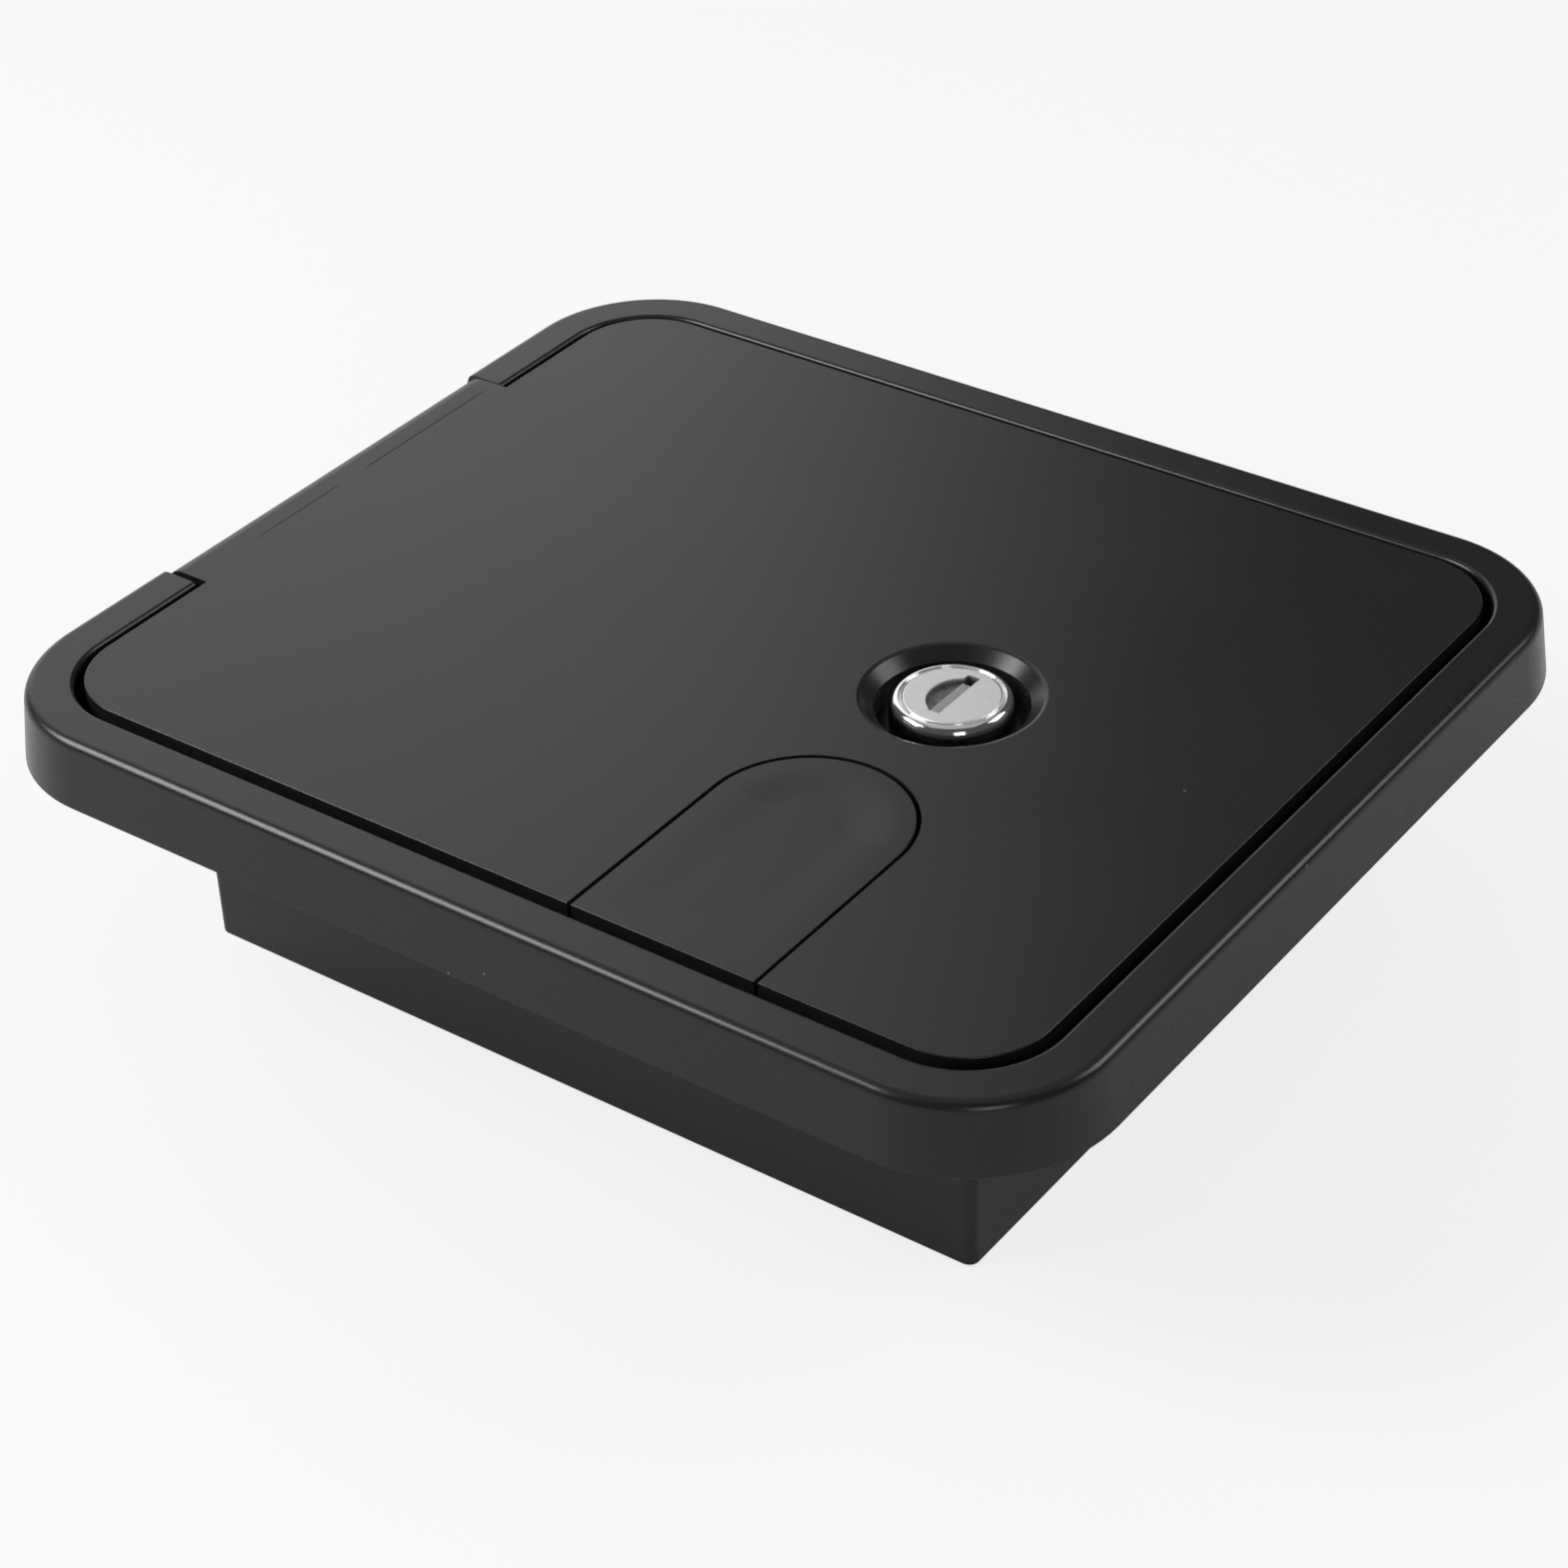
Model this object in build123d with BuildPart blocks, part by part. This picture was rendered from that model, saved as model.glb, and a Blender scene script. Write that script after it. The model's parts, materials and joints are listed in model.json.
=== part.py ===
from build123d import *
import os

# Lockable access door for a caravan or camper wall, in millimetres.
# The sleeve goes through a cut-out in the wall and the flange covers the cut-out's edge.
# Origin: middle of the sleeve's rear edge. +Z points out of the wall, the hinge is on the -X side,
# and the cord flap is at the -Y edge, which is the lower edge on the wall.

# Frame: rebate that the door lies in, and the flange round it
opening_length = 200.2
opening_width = 169.2
opening_corner = 17.0
opening_wall = 2.5
opening_edge = 0.5
border = 10.2
flange_height = 13.0
flange_draft = 7.0
flange_rim = 3.2
flange_skin = 2.6
flange_edge = 1.4
rim_web = 1.6
rim_web_pitch = 44.0
ledge_thickness = 3.0

# Frame: sleeve through the wall
ledge_side = 17.6
ledge_end = 18.6
sleeve_depth = 44.0
sleeve_wall = 2.5
sleeve_corner = 2.0
sleeve_bore_corner = 1.0

# Frame: screw holes in the ledge
screw_inset = 5.5
screw_hole = 2.1
screw_head = 4.0

# Weather seal
seal_height = 3.0
seal_width = 5.0
seal_margin = 0.8
seal_clearance = 0.3

# Door
door_gap = 1.8
door_proud = 0.4
door_thickness = 3.0
skirt_wall = 2.2
rib_thickness = 1.8
rib_height = 3.4

# Door hinge
leaf_length = 85.2
leaf_gap = 0.7
leaf_root = 5.0
knuckle_radius = 4.0
knuckle_clearance = 0.8
hinge_offset = 4.2
hinge_block = 14.0
pin_radius = 1.5
pin_grip = 10.0
pin_fit = 0.05

# Lock pocket in the door
lock_inset = 63.3
pocket_rim = 16.0
pocket_throat = 13.5
pocket_bevel = 2.2
pocket_depth = 7.5
pocket_floor = 2.5
pocket_wall = 2.4

# Cam lock
head_radius = 11.0
crown_radius = 9.2
crown_shoulder = 10.4
shoulder_drop = 0.8
crown_drop = 2.8
lock_sink = 0.3
barrel_radius = 8.3
barrel_flats = 15.0
barrel_length = 18.3
barrel_fit = 0.1
nut_flats = 22.0
nut_thickness = 4.0
plug_face_radius = 8.6
plug_face_thickness = 2.6
plug_radius = 6.4
plug_fit = 0.05
plug_seat = 0.1
plug_overhang = 0.2
shank_side = 7.0
shank_recess = 0.2
key_slot_width = 2.4
key_slot_length = 12.6
key_slot_depth = 14.0
key_slot_shift = 0.4
lead_in_width = 3.0
lead_in_length = 11.0
lead_in_depth = 1.2
shutter_fit = 0.05
shutter_sink = 0.5
shutter_thickness = 1.2
shutter_length = 10.6

# Cam, its washer and its screw
cam_thickness = 2.0
cam_heel = 9.0
cam_tip_width = 12.0
cam_tip_gap = 2.0
cam_tip_corner = 2.5
cam_fit = 0.1
washer_radius = 6.0
washer_thickness = 1.0
screw_radius = 2.0
screw_length = 10.0
screw_fit = 0.05
screw_pan_radius = 4.0
screw_pan_height = 2.8

# Strike lip that the cam turns under
strike_reach = 6.5
strike_width = 26.0
strike_thickness = 3.0
strike_gap = 0.8
gusset_height = 8.0
gusset_thickness = 2.0

# Cord flap
flap_inset = 62.5
flap_width = 36.0
flap_reach = 39.0
flap_slit = 0.6
dish_inset = 4.0
dish_depth = 0.4
dish_slope = 82.0
tilt_axis_drop = 2.8
tilt_tube = 2.3
tilt_pin_radius = 1.25
tilt_pin_grip = 4.0
tilt_ear_length = 8.0
tilt_ear_wall = 1.5
tilt_ear_drop = 6.5
tongue_width = 10.0
tongue_reach = 3.0
tongue_thickness = 2.0
tongue_clearance = 0.2
flap_rib_spacing = 20.0

# Levels above the sleeve's rear edge
wall_face = sleeve_depth
front_face = wall_face + flange_height
ledge_face = wall_face + ledge_thickness
door_face = front_face + door_proud
door_back = door_face - door_thickness
skirt_foot = ledge_face + seal_height + seal_clearance
pocket_base = door_face - pocket_depth
boss_foot = pocket_base - pocket_floor
lock_face = door_face - lock_sink
barrel_end = pocket_base - barrel_length
plug_end = barrel_end - plug_overhang
cam_foot = plug_end - cam_thickness
washer_foot = cam_foot - washer_thickness
strike_foot = plug_end + strike_gap

# Outlines
flange_length = opening_length + 2 * border
flange_width = opening_width + 2 * border
flange_corner = opening_corner + border
sleeve_length = opening_length - 2 * ledge_side
sleeve_width = opening_width - 2 * ledge_end
bore_length = sleeve_length - 2 * sleeve_wall
bore_width = sleeve_width - 2 * sleeve_wall
door_length = opening_length - 2 * door_gap
door_width = opening_width - 2 * door_gap
door_corner = opening_corner - door_gap

# Hinge line, lock axis and flap axis
hinge_x = -opening_length / 2 - hinge_offset
hinge_z = door_face - knuckle_radius
notch_length = leaf_length + 2 * leaf_gap
notch_floor = hinge_z - knuckle_radius - knuckle_clearance
pin_length = notch_length + 2 * pin_grip
lock_x = door_length / 2 - lock_inset
cam_reach = bore_length / 2 - cam_tip_gap - lock_x
flap_x = door_length / 2 - flap_inset
flap_foot = -door_width / 2
flap_y = flap_foot + flap_reach
tilt_z = door_face - tilt_axis_drop
tilt_pin_length = flap_width + 2 * flap_slit + 2 * tilt_pin_grip

# Upright plane through the lock's axis, for profiles drawn as radius and height
lock_plane = Plane(origin=(lock_x, 0, 0), x_dir=(1, 0, 0), z_dir=(0, -1, 0))
lock_axis = Axis((lock_x, 0, 0), (0, 0, 1))


def u_outline(half_width, foot):
    """Draw the cord outlet's U in the open sketch: a round end on a straight shank."""
    with Locations((flap_x, flap_y)):
        Circle(half_width)
        Rectangle(2 * half_width, flap_y - foot, align=(Align.CENTER, Align.MAX))


with BuildPart() as frame:
    # Drafted flange with a rounded front edge
    with BuildSketch(Plane.XY.offset(wall_face)):
        RectangleRounded(flange_length, flange_width, flange_corner)
    extrude(amount=flange_height, taper=flange_draft)
    fillet(frame.faces().sort_by(Axis.Z)[-1].edges(), radius=flange_edge)
    # Sleeve
    with BuildSketch(Plane.XY.offset(wall_face)):
        RectangleRounded(sleeve_length, sleeve_width, sleeve_corner)
    extrude(amount=-sleeve_depth)
    # Rebate for the door, down to the ledge
    with BuildSketch(Plane.XY.offset(front_face)):
        RectangleRounded(opening_length, opening_width, opening_corner)
    extrude(amount=ledge_face - front_face, mode=Mode.SUBTRACT)
    chamfer(frame.faces().sort_by(Axis.Z)[-1].inner_wires()[0].edges(), length=opening_edge)
    # Way through the sleeve
    with BuildSketch(Plane.XY.offset(ledge_face)):
        RectangleRounded(bore_length, bore_width, sleeve_bore_corner)
    extrude(amount=-ledge_face, mode=Mode.SUBTRACT)
    # Hollow behind the border, stiffened by webs and left solid beside the hinge
    with BuildSketch(Plane.XY.offset(wall_face)):
        RectangleRounded(
            flange_length - 2 * flange_rim, flange_width - 2 * flange_rim, flange_corner - flange_rim
        )
        RectangleRounded(
            opening_length + 2 * opening_wall,
            opening_width + 2 * opening_wall,
            opening_corner + opening_wall,
            mode=Mode.SUBTRACT,
        )
        with Locations((-flange_length / 2, 0)):
            Rectangle(2 * border, notch_length + 2 * hinge_block, mode=Mode.SUBTRACT)
        with GridLocations(rim_web_pitch, flange_width, 4, 2):
            Rectangle(rim_web, 2 * border, mode=Mode.SUBTRACT)
        with Locations((flange_length / 2, 0)):
            with GridLocations(border, rim_web_pitch, 1, 4):
                Rectangle(2 * border, rim_web, mode=Mode.SUBTRACT)
    extrude(amount=flange_height - flange_skin, mode=Mode.SUBTRACT)
    # Notch for the hinge leaf, and the bores for the pin
    with BuildSketch(Plane.XY.offset(notch_floor)):
        with Locations((-flange_length / 2, 0)):
            Rectangle(2 * border + door_gap, notch_length)
    extrude(amount=front_face - notch_floor, mode=Mode.SUBTRACT)
    with BuildSketch(Plane.XZ):
        with Locations((hinge_x, hinge_z)):
            Circle(pin_radius + pin_fit)
    extrude(amount=pin_length / 2, both=True, mode=Mode.SUBTRACT)
    # Strike lip with two gussets on the sleeve's lock side
    with BuildSketch(Plane.XY.offset(strike_foot)):
        with Locations((bore_length / 2 - strike_reach, 0)):
            Rectangle(strike_reach + sleeve_wall / 2, strike_width, align=(Align.MIN, Align.CENTER))
    extrude(amount=strike_thickness)
    for side in (-1, 1):
        with BuildSketch(Plane.XZ.offset(side * (strike_width - gusset_thickness) / 2)):
            with BuildLine():
                Polyline(
                    (bore_length / 2 - strike_reach, strike_foot + strike_thickness),
                    (bore_length / 2 + sleeve_wall / 2, strike_foot + strike_thickness),
                    (bore_length / 2 + sleeve_wall / 2, strike_foot + strike_thickness + gusset_height),
                    (bore_length / 2, strike_foot + strike_thickness + gusset_height),
                    close=True,
                )
            make_face()
        extrude(amount=gusset_thickness / 2, both=True)
    # Countersunk screw holes in the ledge
    with Locations((0, 0, ledge_face)):
        with GridLocations(sleeve_length + 2 * screw_inset, sleeve_width + 2 * screw_inset, 2, 2):
            CounterSinkHole(screw_hole, screw_head, depth=flange_height)

with BuildPart() as weather_seal:
    with BuildSketch(Plane.XY.offset(ledge_face)):
        RectangleRounded(
            opening_length - 2 * seal_margin, opening_width - 2 * seal_margin, opening_corner - seal_margin
        )
        offset(amount=-seal_width, mode=Mode.SUBTRACT)
    extrude(amount=seal_height)

with BuildPart() as hinge_pin:
    with BuildSketch(Plane.XZ):
        with Locations((hinge_x, hinge_z)):
            Circle(pin_radius)
    extrude(amount=pin_length / 2 - pin_fit, both=True)

with BuildPart() as door:
    # Panel, and the skirt behind it
    with BuildSketch(Plane.XY.offset(door_back)):
        RectangleRounded(door_length, door_width, door_corner)
    extrude(amount=door_thickness)
    with BuildSketch(Plane.XY.offset(skirt_foot)):
        RectangleRounded(door_length, door_width, door_corner)
        offset(amount=-skirt_wall, mode=Mode.SUBTRACT)
    extrude(amount=door_back - skirt_foot)
    # Hinge leaf that ends in the knuckle
    with BuildSketch(Plane.XZ):
        with Locations((hinge_x, door_face)):
            Rectangle(
                leaf_root - door_length / 2 - hinge_x, door_thickness, align=(Align.MIN, Align.MAX)
            )
        with Locations((hinge_x, hinge_z)):
            Circle(knuckle_radius)
    extrude(amount=leaf_length / 2, both=True)
    with BuildSketch(Plane.XZ):
        with Locations((hinge_x, hinge_z)):
            Circle(pin_radius + pin_fit)
    extrude(amount=leaf_length / 2, both=True, mode=Mode.SUBTRACT)
    # Stiffening ribs across the back, through the lock boss
    with BuildSketch(Plane.XY.offset(door_back - rib_height)):
        for rib_y in (0, door_width / 4):
            with Locations((0, rib_y)):
                Rectangle(door_length - skirt_wall, rib_thickness)
        for rib_x in (-door_length / 3, -door_length / 6, door_length / 3):
            with Locations((rib_x, 0)):
                Rectangle(rib_thickness, door_width - skirt_wall)
    extrude(amount=rib_height)
    # Lock boss, funnel-mouthed pocket and the flatted hole for the barrel
    with BuildSketch(Plane.XY.offset(boss_foot)):
        with Locations((lock_x, 0)):
            Circle(pocket_throat + pocket_wall)
    extrude(amount=door_back - boss_foot)
    with BuildSketch(lock_plane):
        with BuildLine():
            Polyline(
                (0, door_face),
                (pocket_rim, door_face),
                (pocket_throat, door_face - pocket_bevel),
                (pocket_throat, pocket_base),
                (0, pocket_base),
                close=True,
            )
        make_face()
    revolve(axis=lock_axis, mode=Mode.SUBTRACT)
    with BuildSketch(Plane.XY.offset(boss_foot)):
        with Locations((lock_x, 0)):
            Circle(barrel_radius + barrel_fit)
            Rectangle(2 * pocket_throat, barrel_flats + 2 * barrel_fit, mode=Mode.INTERSECT)
    extrude(amount=pocket_floor, mode=Mode.SUBTRACT)
    # Ears for the flap's pin
    with BuildSketch(Plane.XY.offset(door_face - tilt_ear_drop)):
        for side in (-1, 1):
            with Locations((flap_x + side * (tilt_pin_length + tilt_ear_wall) / 2, flap_y)):
                Rectangle(2 * tilt_pin_grip + tilt_ear_wall, tilt_ear_length)
    extrude(amount=tilt_ear_drop - door_thickness)
    # Cord outlet through panel, skirt and ears, and the bores for the pin
    with BuildSketch(Plane.XY.offset(door_face)):
        u_outline(flap_width / 2 + flap_slit, flap_foot - door_gap)
    extrude(amount=boss_foot - door_face, mode=Mode.SUBTRACT)
    with BuildSketch(Plane.YZ.offset(flap_x)):
        with Locations((flap_y, tilt_z)):
            Circle(tilt_pin_radius + pin_fit)
    extrude(amount=tilt_pin_length / 2, both=True, mode=Mode.SUBTRACT)

with BuildPart() as lock_housing:
    # Head with two bevels, barrel behind it and a stepped bore
    with BuildSketch(lock_plane):
        with BuildLine():
            seat = lock_face - plug_face_thickness - plug_seat
            Polyline(
                (plug_face_radius + plug_fit, lock_face),
                (crown_radius, lock_face),
                (crown_shoulder, lock_face - shoulder_drop),
                (head_radius, lock_face - crown_drop),
                (head_radius, pocket_base),
                (barrel_radius, pocket_base),
                (barrel_radius, barrel_end),
                (plug_radius + plug_fit, barrel_end),
                (plug_radius + plug_fit, seat),
                (plug_face_radius + plug_fit, seat),
                close=True,
            )
        make_face()
    revolve(axis=lock_axis)
    # Two flats on the barrel
    with BuildSketch(Plane.XY.offset(pocket_base)):
        with Locations((lock_x, 0)):
            Circle(head_radius)
            Rectangle(2 * head_radius, barrel_flats, mode=Mode.SUBTRACT)
    extrude(amount=-barrel_length, mode=Mode.SUBTRACT)

with BuildPart() as lock_nut:
    with BuildSketch(Plane.XY.offset(boss_foot)):
        with Locations((lock_x, 0)):
            RegularPolygon(nut_flats / 2, 6, major_radius=False)
            Circle(barrel_radius + barrel_fit, mode=Mode.SUBTRACT)
    extrude(amount=-nut_thickness)

with BuildPart() as lock_plug:
    # Face disc and core
    with BuildSketch(lock_plane):
        with BuildLine():
            Polyline(
                (0, lock_face),
                (plug_face_radius, lock_face),
                (plug_face_radius, lock_face - plug_face_thickness),
                (plug_radius, lock_face - plug_face_thickness),
                (plug_radius, plug_end),
                (0, plug_end),
                close=True,
            )
        make_face()
    revolve(axis=lock_axis)
    # Square shank for the cam, tapped for the screw
    with BuildSketch(Plane.XY.offset(plug_end)):
        with Locations((lock_x, 0)):
            Rectangle(shank_side, shank_side)
    extrude(amount=shank_recess - cam_thickness)
    with BuildSketch(Plane.XY.offset(cam_foot)):
        with Locations((lock_x, 0)):
            Circle(screw_radius + screw_fit)
    extrude(amount=screw_length, mode=Mode.SUBTRACT)
    # Key slot with a half-moon lead-in beside it
    with BuildSketch(Plane.XY.offset(lock_face)):
        with Locations((lock_x, key_slot_shift)):
            Rectangle(key_slot_width, key_slot_length)
    extrude(amount=-key_slot_depth, mode=Mode.SUBTRACT)
    with BuildSketch(Plane.XY.offset(lock_face)):
        with BuildLine():
            chord = Line(
                (lock_x - key_slot_width / 2, -lead_in_length / 2),
                (lock_x - key_slot_width / 2, lead_in_length / 2),
            )
            ThreePointArc(chord @ 1, (lock_x - key_slot_width / 2 - lead_in_width, 0), chord @ 0)
        make_face()
    extrude(amount=-lead_in_depth, mode=Mode.SUBTRACT)

with BuildPart() as key_shutter:
    with BuildSketch(Plane.XY.offset(lock_face - shutter_sink)):
        with Locations((lock_x, key_slot_shift - key_slot_length / 2 + shutter_fit)):
            Rectangle(
                key_slot_width - 2 * shutter_fit, shutter_length, align=(Align.CENTER, Align.MIN)
            )
    extrude(amount=-shutter_thickness)

with BuildPart() as lock_cam:
    # Lever that narrows from its round heel to its tip, pointing to +Y while the lock is open
    with BuildSketch(Plane.XY.offset(cam_foot)) as lever:
        with Locations((lock_x, 0)):
            Circle(cam_heel)
        with BuildLine():
            Polyline(
                (lock_x - cam_heel, 0),
                (lock_x + cam_heel, 0),
                (lock_x + cam_tip_width / 2, cam_reach),
                (lock_x - cam_tip_width / 2, cam_reach),
                close=True,
            )
        make_face()
        fillet(lever.vertices().group_by(Axis.Y)[-1], radius=cam_tip_corner)
        with Locations((lock_x, 0)):
            Rectangle(shank_side + 2 * cam_fit, shank_side + 2 * cam_fit, mode=Mode.SUBTRACT)
    extrude(amount=cam_thickness)

with BuildPart() as cam_washer:
    with BuildSketch(Plane.XY.offset(washer_foot)):
        with Locations((lock_x, 0)):
            Circle(washer_radius)
            Circle(screw_radius + cam_fit, mode=Mode.SUBTRACT)
    extrude(amount=washer_thickness)

with BuildPart() as cam_screw:
    with BuildSketch(Plane.XY.offset(washer_foot)):
        with Locations((lock_x, 0)):
            Circle(screw_pan_radius)
    extrude(amount=-screw_pan_height)
    with BuildSketch(Plane.XY.offset(washer_foot)):
        with Locations((lock_x, 0)):
            Circle(screw_radius)
    extrude(amount=screw_length)

with BuildPart() as cord_flap:
    # Plate in the outlet, with a shallow finger dish
    with BuildSketch(Plane.XY.offset(door_back)):
        u_outline(flap_width / 2, flap_foot)
    extrude(amount=door_thickness)
    with BuildSketch(Plane.XY.offset(door_face)):
        u_outline(flap_width / 2 - dish_inset, flap_foot + dish_inset)
    extrude(amount=-dish_depth, taper=dish_slope, mode=Mode.SUBTRACT)
    # Foot that carries on the door's skirt, and two ribs up to the tilt tube
    with BuildSketch(Plane.XY.offset(skirt_foot)):
        with Locations((flap_x, flap_foot)):
            Rectangle(flap_width, skirt_wall, align=(Align.CENTER, Align.MIN))
    extrude(amount=door_back - skirt_foot)
    with BuildSketch(Plane.XY.offset(door_back - rib_height / 2)):
        with Locations((flap_x, flap_y - flap_reach / 2)):
            with GridLocations(flap_rib_spacing, 1, 2, 1):
                Rectangle(rib_thickness, flap_reach - skirt_wall)
    extrude(amount=rib_height / 2)
    # Tilt tube across the back
    with BuildSketch(Plane.YZ.offset(flap_x)):
        with Locations((flap_y, tilt_z)):
            Circle(tilt_tube)
    extrude(amount=flap_width / 2, both=True)
    with BuildSketch(Plane.YZ.offset(flap_x)):
        with Locations((flap_y, tilt_z)):
            Circle(tilt_pin_radius + pin_fit)
    extrude(amount=flap_width / 2, both=True, mode=Mode.SUBTRACT)
    # Stop tongue under the panel beyond the round end
    with BuildSketch(Plane.XY.offset(door_back - tongue_clearance)):
        with Locations((flap_x, flap_y + flap_width / 2 + flap_slit + tongue_reach)):
            Rectangle(tongue_width, 2 * tongue_reach + flap_slit, align=(Align.CENTER, Align.MAX))
    extrude(amount=-tongue_thickness)
    with BuildSketch(Plane.XY.offset(door_back)):
        with Locations((flap_x, flap_y + flap_width / 2 - tongue_reach)):
            Rectangle(tongue_width, tongue_reach / 2, align=(Align.CENTER, Align.MIN))
    extrude(amount=-tongue_clearance)

with BuildPart() as flap_pin:
    with BuildSketch(Plane.YZ.offset(flap_x)):
        with Locations((flap_y, tilt_z)):
            Circle(tilt_pin_radius)
    extrude(amount=tilt_pin_length / 2 - pin_fit, both=True)

pieces = {
    "frame": frame,
    "weather_seal": weather_seal,
    "hinge_pin": hinge_pin,
    "door": door,
    "lock_housing": lock_housing,
    "lock_nut": lock_nut,
    "lock_plug": lock_plug,
    "key_shutter": key_shutter,
    "lock_cam": lock_cam,
    "cam_washer": cam_washer,
    "cam_screw": cam_screw,
    "cord_flap": cord_flap,
    "flap_pin": flap_pin,
}
os.makedirs("parts", exist_ok=True)
for name, piece in pieces.items():
    piece.part.label = name
    export_step(piece.part, f"parts/{name}.step")
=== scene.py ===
import json
import math

import bmesh
import bpy
from mathutils import Matrix, Vector


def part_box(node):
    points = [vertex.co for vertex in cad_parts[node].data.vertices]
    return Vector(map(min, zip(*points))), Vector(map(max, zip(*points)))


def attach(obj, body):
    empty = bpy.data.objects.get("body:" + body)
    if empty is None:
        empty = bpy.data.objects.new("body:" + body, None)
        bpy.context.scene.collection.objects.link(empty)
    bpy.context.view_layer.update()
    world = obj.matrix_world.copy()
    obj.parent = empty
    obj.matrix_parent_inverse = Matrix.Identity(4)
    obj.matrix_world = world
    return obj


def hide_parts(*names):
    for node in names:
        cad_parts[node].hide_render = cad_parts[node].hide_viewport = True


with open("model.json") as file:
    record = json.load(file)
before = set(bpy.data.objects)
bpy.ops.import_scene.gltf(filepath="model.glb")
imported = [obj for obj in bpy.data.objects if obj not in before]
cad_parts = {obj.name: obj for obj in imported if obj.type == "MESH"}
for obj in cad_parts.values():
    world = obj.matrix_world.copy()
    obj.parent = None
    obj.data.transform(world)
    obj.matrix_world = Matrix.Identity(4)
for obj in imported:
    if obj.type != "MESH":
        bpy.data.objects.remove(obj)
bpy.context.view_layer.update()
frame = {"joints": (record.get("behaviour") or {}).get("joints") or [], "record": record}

# Lockable access door for a caravan wall, lying face up: a black moulded frame with a hinged door,
# a chromed cam lock and a tilting cord flap. Shapes are worked out in millimetres and turned into
# metres when a piece is finished.
MILLIMETRE = 0.001


def node_box(node):
    """Lowest and highest corner of a construction node, in millimetres."""
    low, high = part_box(node)
    return low / MILLIMETRE, high / MILLIMETRE


def half_size(node, axis):
    """Half of a node's size along an axis, which is a pin's radius across it."""
    low, high = node_box(node)
    return (high - low)["XYZ".index(axis)] / 2


# Places and sizes taken from the frame
joint_place = {joint["name"]: Vector(joint["pos_m"]) / MILLIMETRE for joint in frame["joints"]}
mount = {entry["name"]: entry for entry in frame["record"]["mounts"]}
hinge = joint_place["door_hinge"]
lock = joint_place["lock_turn"]
tilt = joint_place["flap_tilt"]
wall_face = mount["flange_back"]["pos_m"][2] / MILLIMETRE
screw_pattern = mount["ledge_screws"]["dims"]
frame_high = node_box("frame")[1]
door_low, door_high = node_box("door")
flap_low, flap_high = node_box("cord_flap")
seal_low, seal_high = node_box("weather_seal")
head_low, head_high = node_box("lock_housing")
plug_low, plug_high = node_box("lock_plug")
nut_low, nut_high = node_box("lock_nut")
shutter_low, shutter_high = node_box("key_shutter")
cam_low, cam_high = node_box("lock_cam")
washer_low, washer_high = node_box("cam_washer")
screw_low, screw_high = node_box("cam_screw")

# Frame moulding
front_face = frame_high.z
ledge_face = seal_low.z
border = 10.2
flange_corner = 27.2
flange_draft = math.radians(7)
flange_rim = 3.2
flange_skin = 2.6
flange_edge = 2.0
opening_wall = 2.5
opening_edge = 0.9
small_edge = 0.35
foot_edge = 0.12
sleeve_half = (82.5, 66.0)
sleeve_wall = 2.5
sleeve_corner = 2.0
bore_corner = 1.0
web_thickness = 1.6
web_pitch = 44.0
web_count = 4
web_root = 0.72
web_recess = 0.3
screw_head = 4.0
strike_reach = 6.5
strike_width = 26.0
strike_thickness = 3.0
strike_gap = 0.8
gusset_height = 8.0
gusset_thickness = 2.0
seal_width = 5.0
seal_round = 0.45

# Door
door_thickness = 3.0
door_corner = 15.2
door_edge = 0.25
skirt_wall = 2.2
rib_thickness = 1.8
rib_height = 3.4
leaf_half = 42.6
leaf_gap = 0.7
leaf_root = 5.0
leaf_clear = 0.5
knuckle_radius = 4.0
knuckle_clearance = 0.8
hinge_block = 14.0
pin_fit = 0.05
crease_place = 3.4
crease_width = 0.12
crease_depth = 0.1
crease_start = 12.0
crease_break = 3.0
pocket_rim = 16.0
pocket_throat = 13.5
pocket_bevel = 2.2
pocket_depth = 7.5
pocket_wall = 2.4
pocket_edge = 0.45
door_face = door_high.z
door_back = door_face - door_thickness
door_half = (door_high.x, door_high.y)
skirt_foot = flap_low.z
boss_foot = door_low.z
pocket_base = door_face - pocket_depth

# Cord flap
flap_slit = 0.75
flap_edge = 0.15
slit_edge = 0.1
dish_start = 2.4
dish_end = 12.0
dish_depth = 0.28
dish_steps = 8
tilt_tube = 2.3
tilt_pin_grip = 4.0
ear_length = 8.0
ear_wall = 1.5
ear_drop = 6.5
tongue_width = 10.0
tongue_reach = 3.0
tongue_thickness = 2.0
tongue_clearance = 0.2
flap_rib_spacing = 20.0
flap_half = (flap_high.x - flap_low.x) / 2

# Cam lock
crown_drop = 3.0
crown_lip = 0.1
crown_groove = 0.4
barrel_radius = 8.3
barrel_flat = 7.5
barrel_fit = 0.1
thread_pitch = 1.0
thread_depth = 0.5
thread_clear = 1.2
thread_steps = 6
nut_chamfer = 0.2
nut_bevel_slope = math.tan(math.radians(60))
nut_bevel_depths = (0.0, 0.1, 0.25, 0.45, 0.7, 1.0)
plug_radius = 6.4
plug_fit = 0.05
face_thickness = 2.6
face_edge = 0.3
shank_side = 7.0
shank_length = 1.8
key_slot = (2.4, 12.6, 14.0)
key_slot_shift = 0.4
lead_in_width = 3.0
lead_in_length = 11.0
lead_in_depth = 1.2
shutter_edge = 0.3
stamped_edge = 0.25
cam_heel = 9.0
cam_tip_width = 12.0
cam_tip_corner = 2.5
cam_fit = 0.1
screw_radius = 2.0
screw_tip = 1.0
pan_wall = 1.1
dome_turn = 80
dome_steps = 8
recess_arm = 2.3
recess_width = 1.1
recess_depth = 1.5
recess_flare = 1.1
recess_taper = 0.75

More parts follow.
